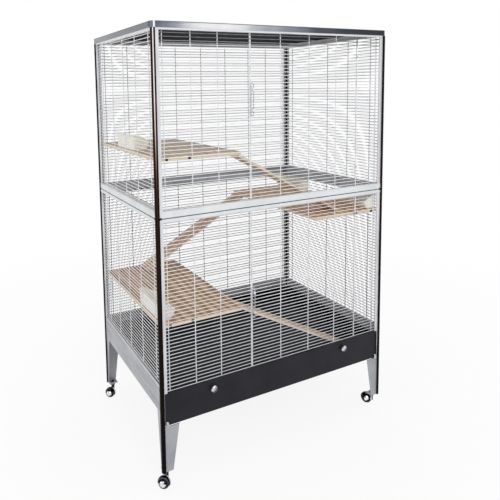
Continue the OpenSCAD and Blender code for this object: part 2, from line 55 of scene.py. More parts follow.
MM = 0.001


def box(node):
    """The lowest and highest corners of a CAD node at rest."""
    low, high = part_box(node)
    return Vector(low), Vector(high)


# Half of the seam between the levels, the height of the rail's outer face, and the joint above the leg plates
SEAM_HALF = 0.5 * MM
RAIL_H = 19.5 * MM
LEG_GAP = 2 * MM
SEAM_Z = box("upper_base_frame")[0].z - SEAM_HALF
RAIL_Z = box("top_rail")[1].z - RAIL_H
LEG_Z = box("drawer_front")[0].z - LEG_GAP


# ---- materials ----


def linear(rgb):
    """A colour of 0 to 255 as the shader wants it."""
    out = []
    for part in rgb:
        part = part / 255
        out.append(part / 12.92 if part <= 0.04045 else ((part + 0.055) / 1.055) ** 2.4)
    return (*out, 1.0)


class Surface:
    """A material built from a Principled shader and the procedural nodes that feed it."""

    def __init__(self, name, **sockets):
        self.material = bpy.data.materials.new(name)
        self.material.use_nodes = True
        self.tree = self.material.node_tree
        self.shader = self.tree.nodes["Principled BSDF"]
        self.coords = self.tree.nodes.new("ShaderNodeTexCoord").outputs["Object"]
        for socket, value in sockets.items():
            self.shader.inputs[socket.replace("_", " ")].default_value = value

    def link(self, a, b):
        self.tree.links.new(a, b)

    def scaled(self, scale):
        """The object coordinates, stretched: a small number makes long features along that axis."""
        node = self.tree.nodes.new("ShaderNodeMapping")
        node.inputs["Scale"].default_value = scale
        self.link(self.coords, node.inputs["Vector"])
        return node.outputs["Vector"]

    def noise(self, scale, detail=3, roughness=0.5, distortion=0.0):
        """Soft noise; scale counts its features in a metre, for all axes or for each."""
        if isinstance(scale, (int, float)):
            scale = (scale, scale, scale)
        node = self.tree.nodes.new("ShaderNodeTexNoise")
        node.inputs["Scale"].default_value = 1.0
        node.inputs["Detail"].default_value = detail
        node.inputs["Roughness"].default_value = roughness
        node.inputs["Distortion"].default_value = distortion
        self.link(self.scaled(scale), node.inputs["Vector"])
        return node.outputs["Fac"]

    def ramp(self, value, stops):
        """Colours along a value: stops are (position, colour of 0 to 255)."""
        node = self.tree.nodes.new("ShaderNodeValToRGB")
        row = node.color_ramp.elements
        row[0].position, row[0].color = stops[0][0], linear(stops[0][1])
        row[1].position, row[1].color = stops[-1][0], linear(stops[-1][1])
        for position, colour in stops[1:-1]:
            row.new(position).color = linear(colour)
        self.link(value, node.inputs["Fac"])
        return node.outputs["Color"]

    def between(self, value, low, high, start=0.3, end=0.7):
        """A value spread from low to high."""
        node = self.tree.nodes.new("ShaderNodeMapRange")
        node.inputs["From Min"].default_value = start
        node.inputs["From Max"].default_value = end
        node.inputs["To Min"].default_value = low
        node.inputs["To Max"].default_value = high
        self.link(value, node.inputs["Value"])
        return node.outputs["Result"]

    def axis(self, letter):
        """One of the object coordinates."""
        node = self.tree.nodes.new("ShaderNodeSeparateXYZ")
        self.link(self.coords, node.inputs["Vector"])
        return node.outputs[letter]

    def facing(self):
        """The direction that the surface faces on the object, split into its X, Y and Z."""
        turned = self.tree.nodes.new("ShaderNodeVectorTransform")
        turned.vector_type = "NORMAL"
        turned.convert_from, turned.convert_to = "WORLD", "OBJECT"
        self.link(self.tree.nodes.new("ShaderNodeNewGeometry").outputs["Normal"], turned.inputs["Vector"])
        split = self.tree.nodes.new("ShaderNodeSeparateXYZ")
        self.link(turned.outputs["Vector"], split.inputs["Vector"])
        return split.outputs

    def math(self, kind, *values):
        """One step of arithmetic on sockets and numbers."""
        node = self.tree.nodes.new("ShaderNodeMath")
        node.operation = kind
        for socket, value in zip(node.inputs, values):
            if isinstance(value, (int, float)):
                socket.default_value = value
            else:
                self.link(value, socket)
        return node.outputs[0]

    def weighed(self, *parts):
        """The sum of some values, each times its weight."""
        terms = [self.math("MULTIPLY", value, weight) for value, weight in parts]
        total = terms[0]
        for term in terms[1:]:
            total = self.math("ADD", total, term)
        return total

    def sway(self, noise, amount):
        """A noise turned into a swing of up to half of amount either way."""
        return self.math("MULTIPLY", self.math("SUBTRACT", noise, 0.5), amount)

    def off_level(self, height):
        """The distance above or below a height."""
        return self.math("ABSOLUTE", self.math("SUBTRACT", self.axis("Z"), height))

    def blend(self, fac, a, b):
        """Colour a where fac is 0 and b where it is 1."""
        node = self.tree.nodes.new("ShaderNodeMix")
        node.data_type = "RGBA"
        self.link(fac, node.inputs["Factor"])
        self.link(a, node.inputs["A"])
        self.link(b, node.inputs["B"])
        return [o for o in node.outputs if o.type == "RGBA"][0]

    def lit_edge(self, high, radius, degrees, spread, core=0.35):
        """1 on a line down the rounded front left edge of a part whose high corner is given.

        The angle is that of the surface there from the front, and spread is half the line's width.
        The line is at its full strength in its core.
        """
        a, spread = math.radians(degrees), math.radians(spread)
        reach = self.weighed((self.axis("X"), -math.sin(a)), (self.axis("Y"), -math.cos(a)))
        top = (high.x - radius) * math.sin(a) + (high.y - radius) * math.cos(a) + radius
        drop = radius * (1 - math.cos(spread))
        return self.between(reach, 0, 1, top - drop, top - drop * core)

    def colour(self, value):
        self.link(value, self.shader.inputs["Base Color"])

    def rough(self, value, low, high):
        """Roughness from low to high along a noise."""
        self.link(self.between(value, low, high), self.shader.inputs["Roughness"])

    def bump(self, value, depth, strength):
        """Raises the surface by up to depth metres."""
        node = self.tree.nodes.new("ShaderNodeBump")
        node.inputs["Strength"].default_value = strength
        node.inputs["Distance"].default_value = depth
        self.link(value, node.inputs["Height"])
        before = self.shader.inputs["Normal"]
        if before.is_linked:
            self.link(before.links[0].from_socket, node.inputs["Normal"])
        self.link(node.outputs["Normal"], before)

    def powder_finish(self, blotch, relief, depth=0.00012, strength=0.5):
        """The even sheen of a powder coat over a fine relief."""
        self.rough(blotch, 0.36, 0.5)
        self.bump(relief, depth, strength)

    def polish(self, low, high):
        """The fine scratches of polished metal."""
        self.rough(self.noise(260), low, high)
        self.bump(self.noise(600, 2), 0.00003, 0.3)


def painted(name, dark, light, roughness, metallic=0.0, specular=0.5, speck=700):
    """Sheet metal with a fine powder coat: soft blotches, and a grain of about a millimetre."""
    s = Surface(name, Metallic=metallic, Specular_IOR_Level=specular)
    blotch = s.noise(9, 5, 0.6)
    grain = s.noise(speck, 2)
    s.colour(s.ramp(s.weighed((blotch, 0.65), (grain, 0.35)), [(0.36, dark), (0.62, light)]))
    s.rough(blotch, roughness - 0.06, roughness + 0.08)
    s.bump(grain, 0.00012, 0.5)
    return s.material


def make_band():
    """Light powder coat of the two middle rails, with a painted shadow in the seam between them."""
    s = Surface("band_grey", Metallic=0.12)
    blotch = s.noise(9, 5, 0.6)
    grain = s.noise(700, 2)
    coat = s.ramp(blotch, [(0.36, (215, 219, 221)), (0.62, (229, 232, 234))])
    # painted shadow: dark tones along the seam between the two rails
    shade = s.ramp(grain, [(0.3, (62, 63, 70)), (0.7, (96, 97, 104))])
    ragged = s.math("ADD", s.off_level(SEAM_Z - 0.8 * MM), s.math("MULTIPLY", s.noise(60, 2), 0.8 * MM))
    s.colour(s.blend(s.between(ragged, 1, 0, 1.6 * MM, 2.3 * MM), coat, shade))
    s.powder_finish(blotch, grain)
    return s.material


def make_angle(front, leg_end=0.2, strip_start=0.36):
    """Powder coat of the corner strips, with painted shade that makes the legs duller and a painted shadow in
    the joint under the drawer.

    The painted shadow is only on the plates that lie before the depth front.
    """
    s = Surface("angle_grey", Metallic=0.15)
    blotch = s.noise((9, 9, 7), 5, 0.6)
    grain = s.noise(700, 2)
    # painted shade: the legs take a duller copy of the strips' coat
    leg = s.ramp(blotch, [(0.36, (154, 157, 162)), (0.62, (178, 180, 185))])
    strip = s.ramp(blotch, [(0.36, (208, 209, 214)), (0.62, (228, 229, 233))])
    coat = s.blend(s.between(s.axis("Z"), 0, 1, leg_end, strip_start), leg, strip)
    # painted shadow in the joint under the drawer front, on the front plates only
    joint = s.ramp(grain, [(0.3, (14, 14, 17)), (0.7, (34, 34, 38))])
    fore = s.between(s.axis("Y"), 1, 0, front, front + MM)
    near = s.between(s.off_level(LEG_Z), 1, 0, 0.5 * MM, 1.5 * MM)
    s.colour(s.blend(s.math("MULTIPLY", fore, near), coat, joint))
    s.powder_finish(blotch, grain)
    return s.material


def make_apron(top):
    """Roll-formed sheet: light and dark lines along its length that paint the shade and highlights of its
    ribs, and a painted highlight under its top edge.
    """
    s = Surface("apron_grey", Metallic=0.2)
    # lines along the length: painted shade and highlights of the ribs, and also their fine relief
    line = s.noise((2.2, 2.2, 190), 4, 0.6)
    blotch = s.noise(7, 4, 0.6)
    rib_shading = s.weighed((line, 0.6), (blotch, 0.4))
    face = s.ramp(rib_shading, [(0.38, (142, 145, 152)), (0.5, (170, 172, 177)), (0.62, (192, 193, 196))])
    # painted highlight under the top edge
    bright = s.ramp(line, [(0.3, (196, 198, 202)), (0.7, (216, 217, 220))])
    s.colour(s.blend(s.between(s.off_level(top - 4.5 * MM), 1, 0, 1.8 * MM, 3 * MM), face, bright))
    s.powder_finish(blotch, line, 0.0004, 0.35)
    return s.material


RAIL_CORNER_R = 18 * MM
RAIL_WALL = 20.5 * MM


def make_rail(high):
    """Blue-grey satin metal with soft clouds, pale on the inside, with a painted reflection along the front
    and back, light near the left and dark to the right, painted shade that makes the sides duller, and a
    painted highlight down the front left corner.

    The inside starts at the depth RAIL_WALL behind the outer face.
    """
    s = Surface("rail_satin", Coat_Weight=0.15, Coat_Roughness=0.1)
    streak = s.noise((6, 6, 900), 3, 0.6)
    cloud = s.noise((9, 9, 12))
    wobble = s.math("ADD", s.sway(streak, 0.1), s.sway(cloud, 0.22))
    along = s.math("ADD", s.between(s.axis("X"), 0, 1, -high.x, high.x), wobble)
    # painted reflection along the front and back: light near the left, dark to the right
    face = s.ramp(along, [
        (0.0, (84, 92, 103)), (0.08, (148, 152, 163)), (0.15, (206, 207, 211)), (0.25, (234, 235, 238)),
        (0.38, (198, 201, 206)), (0.5, (136, 140, 150)), (0.63, (76, 80, 93)), (0.8, (44, 47, 58)),
        (0.95, (34, 36, 46)),
    ])
    back = s.math("ADD", s.between(s.axis("Y"), 0, 1, -high.y, high.y), wobble)
    # painted reflection and shade on the sides: dark at the front corner, duller grey behind
    side = s.ramp(back, [
        (0.0, (40, 48, 56)), (0.035, (110, 120, 127)), (0.1, (107, 111, 116)), (0.5, (112, 117, 121)),
        (0.9, (128, 134, 140)),
    ])
    across = s.math("ABSOLUTE", s.axis("X"))
    face = s.blend(s.between(across, 0, 1, high.x - 0.8 * MM, high.x - 0.3 * MM), face, side)
    edge = s.ramp(streak, [(0.35, (20, 22, 30)), (0.65, (96, 99, 110))])
    face = s.blend(s.between(s.axis("Z"), 0, 1, high.z - 3 * MM, high.z - 1.5 * MM), face, edge)
    pale = s.ramp(streak, [(0.3, (234, 235, 239)), (0.7, (248, 248, 250))])
    # painted highlight down the rounded front left corner
    corner_highlight = s.ramp(streak, [(0.3, (186, 190, 200)), (0.7, (206, 209, 217))])
    face = s.blend(s.lit_edge(high, RAIL_CORNER_R, 26, 11), face, corner_highlight)
    reach = s.math(
        "MAXIMUM", s.math("SUBTRACT", across, high.x - RAIL_WALL),
        s.math("SUBTRACT", s.math("ABSOLUTE", s.axis("Y")), high.y - RAIL_WALL),
    )
    outside = s.between(reach, 0, 1, -0.4 * MM, 0.4 * MM)
    face = s.blend(outside, pale, face)
    s.link(s.math("MULTIPLY", outside, 0.6), s.shader.inputs["Metallic"])
    s.colour(s.blend(s.between(s.axis("Z"), 1, 0, RAIL_Z - 0.4 * MM, RAIL_Z + 0.4 * MM), face, pale))
    s.rough(streak, 0.24, 0.38)
    s.bump(streak, 0.00004, 0.4)
    return s.material


POST_R = 8 * MM


def make_post(high):
    """Black-brown lacquer with a painted highlight down the front left edge of the front left post, bright at
    the top and fading to dark at the foot.
    """
    s = Surface("post_lacquer", Specular_IOR_Level=0.05)
    streak = s.noise((500, 500, 3), 3, 0.6)
    cloud = s.noise((30, 30, 2.5))
    height = s.between(s.axis("Z"), 0, 1, 0, 1.5)
    bar = s.ramp(s.math("ADD", height, s.sway(cloud, 0.4)), [
        (0.05, (8, 5, 3)), (0.3, (16, 9, 5)), (0.6, (27, 14, 7)), (0.9, (20, 12, 10)),
    ])
    # painted highlight line down the front left edge, bright at the top and fading to dark at the foot
    line = s.ramp(height, [
        (0.1, (12, 7, 4)), (0.35, (26, 13, 6)), (0.56, (42, 21, 9)), (0.65, (66, 34, 16)),
        (0.69, (96, 64, 46)), (0.73, (146, 124, 112)), (0.78, (206, 190, 184)), (0.84, (232, 222, 221)),
    ])
    s.colour(s.blend(s.lit_edge(high, POST_R, 24, 15), bar, line))
    s.rough(streak, 0.14, 0.24)
    s.bump(streak, 0.00004, 0.3)
    return s.material


def make_roof():
    """Dull black sheet with soft clouds."""
    s = Surface("roof_black", Specular_IOR_Level=0.02)
    cloud = s.noise(7, 5, 0.6)
    s.colour(s.ramp(cloud, [(0.35, (2, 2, 3)), (0.7, (6, 6, 8))]))
    s.rough(cloud, 0.5, 0.66)
    s.bump(s.noise(600, 2), 0.00015, 0.5)
    return s.material


def make_tray():
    """Black gloss enamel with soft unevenness and fine scuffs."""
    s = Surface("tray_enamel", Specular_IOR_Level=0.12)
    cloud = s.noise(6, 5, 0.6)
    scuff = s.noise((14, 160, 40), 4, 0.7)
    s.colour(s.ramp(cloud, [(0.3, (5, 7, 12)), (0.7, (12, 16, 25))]))
    s.rough(scuff, 0.34, 0.52)
    s.bump(cloud, 0.0006, 0.3)
    s.bump(scuff, 0.00008, 0.3)
    return s.material


# Heights between which the front cross wires carry painted shade: under the roof, and low down
ROOF_SHADE = (1.425, 1.44)
LOW_SHADE = (0.36, 0.6)


def make_wire(name, tones, metallic=0.12, specular=0.6, front=None):
    """Plated wire with soft uneven patches and a fine grain.

    The cross wires that lie before the depth front carry painted shade: darker under the roof, and a little
    darker low down.
    """
    s = Surface(name, Metallic=metallic, Specular_IOR_Level=specular)
    cloud = s.noise(45, 4, 0.6)
    fine = s.noise(900, 2)
    coat = s.ramp(cloud, tones)
    if front is not None:
        height = s.axis("Z")
        cross = s.between(s.axis("Y"), 1, 0, front - 0.1 * MM, front + 0.1 * MM)
        # painted shade for the front cross wires under the roof, and lighter painted shade low down
        roof_shade_tone = s.ramp(cloud, [(0.32, (96, 99, 106)), (0.75, (132, 135, 141))])
        low = s.ramp(cloud, [(0.32, (188, 190, 196)), (0.75, (216, 217, 221))])
        coat = s.blend(s.math("MULTIPLY", cross, s.between(height, 0, 1, *ROOF_SHADE)), coat, roof_shade_tone)
        coat = s.blend(s.math("MULTIPLY", cross, s.between(height, 1, 0, *LOW_SHADE)), coat, low)
    s.colour(coat)
    s.rough(fine, 0.26, 0.42)
    s.bump(fine, 0.00005, 0.4)
    return s.material


def make_zinc():
    """Zinc-plated fittings: satin, with faint clouds."""
    s = Surface("zinc_fitting", Metallic=1.0)
    s.colour(s.ramp(s.noise(90), [(0.35, (172, 174, 178)), (0.7, (206, 208, 212))]))
    s.polish(0.2, 0.34)
    return s.material


def make_mirror(name, aim, stops):
    """Polished metal with a painted reflection: light and dark zones, with a painted highlight, by the
    direction that a place faces.

    A place that faces along aim takes the colour at 1, and one that faces away from it the colour at 0.
    """
    s = Surface(name, Metallic=1.0)
    facing = s.facing()
    # painted reflection: a value from 0 to 1 by how far a place faces the aim
    reflection_zone = 0.5
    for letter, share in zip("XYZ", Vector(aim).normalized()):
        reflection_zone = s.math("ADD", s.math("MULTIPLY", facing[letter], share / 2), reflection_zone)
    s.colour(s.ramp(s.math("ADD", reflection_zone, s.sway(s.noise(90), 0.16)), stops))
    s.polish(0.08, 0.16)
    return s.material


GRAIN = 3.0
PLY_PITCH = 4 * MM


def make_wood(name, tones):
    """Light plywood or batten wood: grain along the local X, and ply lines on its pale edges."""
    s = Surface(name, Coat_Weight=0.08, Coat_Roughness=0.4)
    warp = s.noise((GRAIN * 0.7, 9, 9), 2)
    fibre = s.noise((GRAIN * 3, 260, 260), 5, 0.65, 0.4)
    rings = s.tree.nodes.new("ShaderNodeTexWave")
    rings.wave_type = "BANDS"
    rings.bands_direction = "Y"
    rings.inputs["Scale"].default_value = 1.0
    rings.inputs["Distortion"].default_value = 7.0
    rings.inputs["Detail"].default_value = 3.0
    rings.inputs["Detail Scale"].default_value = 1.4
    s.link(s.scaled((GRAIN * 0.5, 9, 9)), rings.inputs["Vector"])
    face = s.ramp(s.weighed((rings.outputs["Fac"], 0.35), (fibre, 0.4), (warp, 0.25)), tones)
    layer = s.math("SINE", s.math("MULTIPLY", s.axis("Z"), 2 * math.pi / PLY_PITCH))
    edge = s.ramp(s.weighed((layer, 0.3), (fibre, 0.6)), [
        (0.0, (204, 186, 154)), (0.35, (228, 213, 186)), (0.7, (244, 236, 216)),
    ])
    side = s.between(s.math("ABSOLUTE", s.facing()["Z"]), 1, 0, 0.55, 0.8)
    s.colour(s.blend(side, face, edge))
    s.rough(fibre, 0.5, 0.68)
    s.bump(fibre, 0.0002, 0.5)
    return s.material


def make_bowl():
    """Cream moulded plastic with a slight sheen and a fine grain."""
    s = Surface("bowl_cream", Subsurface_Weight=0.08, Coat_Weight=0.15, Coat_Roughness=0.2)
    s.shader.inputs["Subsurface Radius"].default_value = (0.004, 0.003, 0.002)
    cloud = s.noise(28, 4)
    s.colour(s.ramp(cloud, [(0.3, (240, 236, 222)), (0.7, (248, 245, 235))]))
    s.rough(cloud, 0.3, 0.42)
    s.bump(s.noise(900, 2), 0.00004, 0.3)
    return s.material


# Depths before which a leg plate or a cross wire is one of the front
FRONT_PLATES = box("corner_angle_fl")[0].y + 3 * MM
FRONT_CROSS_WIRES = box("front_left_upper")[0].y + 2.51 * MM

POST = make_post(box("corner_post_br")[1])
SHEET = painted("sheet_grey", (160, 162, 166), (180, 182, 186), 0.42, metallic=0.25)
ANGLE = make_angle(FRONT_PLATES)
BAND = make_band()
APRON = make_apron(box("side_apron_left")[1].z)
RAIL = make_rail(box("top_rail")[1])
ROOF = make_roof()
GUIDE = painted("guide_grey", (160, 164, 171), (198, 201, 206), 0.45, metallic=0.2)
TRAY = make_tray()
DRAWER = painted("drawer_charcoal", (28, 28, 34), (40, 40, 47), 0.5, specular=0.16, speck=520)
BOWL = make_bowl()
FIXING = painted("black_fixing", (10, 10, 12), (26, 26, 29), 0.4)
FITTING = make_zinc()

BRIGHT = [(0.32, (220, 221, 226)), (0.55, (236, 237, 240)), (0.75, (246, 246, 248))]
# painted shade: darker copies of the wire's tones, for the upper right and back meshes, and darkest for the
# lower ones
SHADED_TONES = [(0.32, (152, 155, 161)), (0.55, (176, 179, 184)), (0.75, (198, 200, 205))]
DEEP_SHADED_TONES = [(0.32, (66, 69, 75)), (0.55, (92, 95, 101)), (0.75, (118, 121, 126))]
WIRE = make_wire("plated_wire", BRIGHT)
FRONT_WIRE = make_wire("front_wire", BRIGHT, front=FRONT_CROSS_WIRES)
SIDE_WIRE = make_wire("shaded_side_wire", SHADED_TONES)
BACK_WIRE = make_wire("shaded_back_wire", DEEP_SHADED_TONES, metallic=0.0, specular=0.1)

DARK_TONES = [(0.25, (140, 104, 70)), (0.5, (190, 153, 112)), (0.75, (226, 196, 154))]
# painted light: the middle shelf's tones are lighter, to lift the shade that it lies in
MIDDLE_LIT_TONES = [(0.25, (168, 126, 88)), (0.5, (216, 176, 134)), (0.75, (244, 216, 178))]
PALE_TONES = [(0.25, (190, 164, 132)), (0.5, (212, 192, 164)), (0.75, (230, 216, 194))]
RAMP_TONES = [(0.25, (182, 144, 112)), (0.5, (214, 180, 148)), (0.75, (238, 212, 184))]
SHELF_WOOD = make_wood("shelf_plywood", DARK_TONES)
MIDDLE_SHELF_WOOD = make_wood("middle_shelf_plywood", MIDDLE_LIT_TONES)
PALE_SHELF_WOOD = make_wood("pale_shelf_plywood", PALE_TONES)
RAMP_WOOD = make_wood("ramp_wood", RAMP_TONES)

# painted reflections of the castors, balls and knobs: the stops give light and dark zones, and a painted
# highlight near the aim
CASTOR_HIGHLIGHT_AIM = (-0.62, -0.72, 0.3)
KNOB_HIGHLIGHT_AIM = (-0.6, -0.3, 0.75)
CHROME = make_mirror("castor_chrome", CASTOR_HIGHLIGHT_AIM, [
    (0.25, (96, 98, 104)), (0.42, (214, 216, 221)), (0.54, (176, 179, 185)), (0.6, (26, 27, 31)),
    (0.72, (12, 12, 15)), (0.8, (84, 86, 92)), (0.86, (16, 17, 20)), (0.955, (30, 31, 35)),
    (0.985, (240, 241, 244)),
])
BALL = make_mirror("castor_ball", CASTOR_HIGHLIGHT_AIM, [
    (0.3, (110, 112, 118)), (0.45, (190, 192, 198)), (0.55, (30, 31, 35)), (0.78, (12, 12, 15)),
    (0.9, (40, 41, 46)), (0.96, (226, 227, 231)),
])
KNOB = make_mirror("knob_chrome", KNOB_HIGHLIGHT_AIM, [
    (0.15, (40, 40, 44)), (0.3, (150, 151, 156)), (0.42, (120, 121, 126)), (0.52, (50, 51, 56)),
    (0.6, (96, 97, 102)), (0.7, (176, 177, 181)), (0.84, (236, 236, 238)), (0.93, (110, 111, 115)),
])

NODE_MATERIALS = {
    "corner_post": POST,
    "corner_angle": ANGLE,
    "top_rail": RAIL,
    "roof_panel": ROOF,
    "upper_base_frame": BAND,
    "lower_top_frame": BAND,
    "mid_guide": GUIDE,
    "side_apron": APRON,
    "back_apron": APRON,
    "left_mesh": WIRE,
    "right_mesh_upper": SIDE_WIRE,
    "right_mesh_lower": BACK_WIRE,
    "back_mesh_upper": SIDE_WIRE,
    "back_mesh_lower": BACK_WIRE,
    "front_": FRONT_WIRE,
    "door_hinges": FITTING,
    "door_": FRONT_WIRE,
    "latch_": FITTING,
    "tray_runners": SHEET,
    "tray": TRAY,
    "drawer_front": DRAWER,
    "drawer_knobs": KNOB,
    "drawer_catches": FITTING,
    "shelf_hooks": FIXING,
    "shelf_upper": PALE_SHELF_WOOD,
    "shelf_middle": MIDDLE_SHELF_WOOD,
    "shelf_": SHELF_WOOD,
    "ramp_": RAMP_WOOD,
    "bowl_": BOWL,
    "module_bolts": FIXING,
    "caster_plates": SHEET,
    "caster_hood": CHROME,
    "caster_ball": BALL,
}
for name, node in NODES.items():
    start = next(key for key in NODE_MATERIALS if name.startswith(key))
    for holder in node.material_slots:
        holder.material = NODE_MATERIALS[start]


# ---- mesh helpers ----


def prism(bm, points, start, end):
    """A bar along Y with this outline in X and Z."""
    rows = [[bm.verts.new((x, y, z)) for x, z in points] for y in (start, end)]
    count = len(points)
    for i in range(count):
        bm.faces.new((rows[0][i], rows[0][(i + 1) % count], rows[1][(i + 1) % count], rows[1][i]))
    bm.faces.new(rows[0])
    bm.faces.new(rows[1])


def loft(bm, rings, index=None, closed=False):
    """Joins rings of points; closed joins the last ring to the first instead of filling both ends."""
    rows = [[bm.verts.new(point) for point in ring] for ring in rings]
    count = len(rings[0])
    pairs = list(zip(rows, rows[1:]))
    if closed:
        pairs.append((rows[-1], rows[0]))
    for step, (low, high) in enumerate(pairs):
        for i in range(count):
            face = bm.faces.new((low[i], low[(i + 1) % count], high[(i + 1) % count], high[i]))
            face.material_index = index[step] if index else 0
    if not closed:
        bm.faces.new(rows[0])
        bm.faces.new(rows[-1])


def lathe(bm, profile, matrix, index=None, closed=False, count=40):
    """Turns a profile of (radius, height) in millimetres about the local Z axis."""
    rings = []
    for radius, height in profile:
        ring = []
        for i in range(count):
            a = 2 * math.pi * i / count
            ring.append(matrix @ (Vector((radius * math.cos(a), radius * math.sin(a), height)) * MM))
        rings.append(ring)
    loft(bm, rings, index, closed)


def soften(bm, width, segments=2, angle=35):
    """Rounds every edge that is sharper than an angle."""
    sharp = [e for e in bm.edges if len(e.link_faces) == 2 and e.calc_face_angle() > math.radians(angle)]
    bmesh.ops.bevel(
        bm, geom=sharp, offset=width, offset_type="OFFSET", segments=segments, profile=0.5,
        affect="EDGES", clamp_overlap=True,
    )


def piece(name, bm, materials, body, nodes=(), matrix=None, sharp_angle=50):
    """Makes an object of the mesh, rides it on a body and hides the nodes that it stands for."""
    bmesh.ops.recalc_face_normals(bm, faces=bm.faces)
    mesh = bpy.data.meshes.new(name)
    bm.to_mesh(mesh)
    bm.free()
    for polygon in mesh.polygons:
        polygon.use_smooth = True
    mesh.set_sharp_from_angle(angle=math.radians(sharp_angle))
    obj = bpy.data.objects.new(name, mesh)
    bpy.context.scene.collection.objects.link(obj)
    for material in materials:
        mesh.materials.append(material)
    obj.modifiers.new("normals", "WEIGHTED_NORMAL").keep_sharp = True
    if matrix:
        obj.matrix_world = matrix
    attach(obj, body)
    if nodes:
        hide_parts(*nodes)


def rounded_copy(node, name, width, body="cage", hem=0.0):
    """A copy of a folded sheet part with rounded edges, and its lowest one rolled down by hem millimetres."""
    bm = bmesh.new()
    bm.from_mesh(NODES[node].data)
    foot = min(vert.co.z for vert in bm.verts) + 0.1 * MM
    for vert in bm.verts:
        if vert.co.z < foot:
            vert.co.z -= hem * MM
    bmesh.ops.remove_doubles(bm, verts=bm.verts, dist=1e-6)
    bmesh.ops.dissolve_limit(bm, angle_limit=math.radians(0.5), verts=bm.verts, edges=bm.edges)
    soften(bm, width * MM)
    piece(name, bm, [NODES[node].material_slots[0].material], body, [node])


# ---- folded sheet parts ----

rounded_copy("top_rail", "top_rail_rolled", 1.2)
rounded_copy("upper_base_frame", "upper_band", 0.5)
rounded_copy("lower_top_frame", "lower_band", 0.5)
rounded_copy("drawer_front", "drawer_panel", 1.0, body="drawer", hem=1.5)
rounded_copy("tray", "tray_pan", 0.6, body="drawer")
rounded_copy("tray_runners", "runner_bars", 0.4)
rounded_copy("caster_plates", "caster_mounts", 0.6)
rounded_copy("shelf_hooks", "shelf_hook_blocks", 0.7)
for side in ("left", "right"):
    rounded_copy("side_apron_" + side, "apron_" + side, 0.4)
rounded_copy("back_apron", "apron_back", 0.4)
for side in ("left", "right", "back"):
    rounded_copy("mid_guide_" + side, "guide_" + side, 0.4)
for corner in CORNERS:
    rounded_copy("corner_angle_" + corner, "angle_" + corner, 0.4)


# ---- shelves and ramps ----


def rounded_outline(length, width, radius, steps=6):
    """Points round a rectangle with rounded corners."""
    points = []
    for quarter, (x, y) in enumerate(((1, 1), (-1, 1), (-1, -1), (1, -1))):
        for i in range(steps + 1):
            a = math.radians(90 * (quarter + i / steps))
            points.append((
                x * (length / 2 - radius) + radius * math.cos(a),
                y * (width / 2 - radius) + radius * math.sin(a),
            ))
    return points


def shelf_board(node, fillet=1.6 * MM, corner=7 * MM, steps=4):
    """A board with rounded corners and edges; its grain runs along the local X, the world's Y."""
    low, high = box(node)
    size = high - low
    rings = []
    for side in (-1, 1):
        for i in range(steps + 1):
            a = math.radians(90 * (i if side < 0 else steps - i) / steps)
            inset = fillet * (1 - math.sin(a))
            z = side * (size.z / 2 - fillet * (1 - math.cos(a)))
            outline = rounded_outline(size.y - 2 * inset, size.x - 2 * inset, corner - inset)
            rings.append([(x, y, z) for x, y in outline])
    bm = bmesh.new()
    loft(bm, rings)
    matrix = Matrix.Translation((low + high) / 2) @ Matrix.Rotation(math.radians(90), 4, "Z")
    wood = NODES[node].material_slots[0].material
    piece(node.replace("shelf", "board"), bm, [wood], "cage", [node], matrix)


for node in ("shelf_upper_left", "shelf_middle_right", "shelf_lower_left"):
    shelf_board(node)

# Thickness of a ramp board, its gap to the shelf, and the pitch, length, height and end gap of its battens
RAMP_T = 8
RAMP_GAP = 0.2
RUNG_PITCH = 50
RUNG_L = 9
RUNG_H = 2
RUNG_END = 2
RUNG_SUNK = 0.2


def ramp_board(node, shelf, slope, falls_left=False):
    """A leaning board with low rounded battens; its grain runs down the slope."""
    low, high = box(node)
    edge = box(shelf)[0].x if falls_left else box(shelf)[1].x
    angle = math.radians(slope)
    drop = (high.z - low.z) / MM
    foot = drop / math.tan(angle)
    thick = RAMP_T / math.cos(angle)
    flat = [(RAMP_GAP, 0), (RAMP_GAP, -thick), (foot - thick / math.tan(angle), -drop), (foot, -drop)]
    turned = [
        (x * math.cos(angle) - z * math.sin(angle), x * math.sin(angle) + z * math.cos(angle))
        for x, z in flat
    ]
    half = (high.y - low.y) / 2
    bm = bmesh.new()
    prism(bm, [(x * MM, z * MM) for x, z in turned], -half, half)
    soften(bm, 1.2 * MM, 3, 20)
    rung_half = half - RUNG_END * MM
    turns = [math.pi * k / 8 for k in range(9)]
    arch = [(RUNG_L / 2 * (1 + math.cos(a)), RUNG_H * math.sin(a) - RUNG_SUNK) for a in turns]
    for i in range(1, int(drop / math.sin(angle) / RUNG_PITCH)):
        prism(bm, [((i * RUNG_PITCH + x) * MM, z * MM) for x, z in arch], -rung_half, rung_half)
    turn = Matrix.Rotation(angle, 4, "Y")
    if falls_left:
        turn = Matrix.Rotation(math.pi, 4, "Z") @ turn
    place = Matrix.Translation((edge, (low.y + high.y) / 2, high.z))
    piece(node.replace("ramp", "ramp_board"), bm, [RAMP_WOOD], "cage", [node], place @ turn)


ramp_board("ramp_upper", "shelf_upper_left", 29)
ramp_board("ramp_middle", "shelf_middle_right", 29.4, falls_left=True)
ramp_board("ramp_lower", "shelf_lower_left", 28)


# ---- bowls ----

# Depth of the level part of a bowl's rim, height of its inner side, and its corner radii
BOWL_LEVEL = 21
BOWL_LIP = 29
BOWL_CORNER_R = 8
BOWL_LEAST_R = 1.5
# Depth of a bowl at its floor, thickness of the floor, and radii of the edges under and over it
BOWL_FLOOR = 50
BOWL_FLOOR_T = 2
BOWL_FOOT_R = 3
BOWL_INNER_R = 4
# Insets of the outer and the inner wall at the floor and at a height halfway up
BOWL_HALFWAY = 16
BOWL_OUTER = (3.4, 2.2)
BOWL_INNER = (5.4, 4.3)
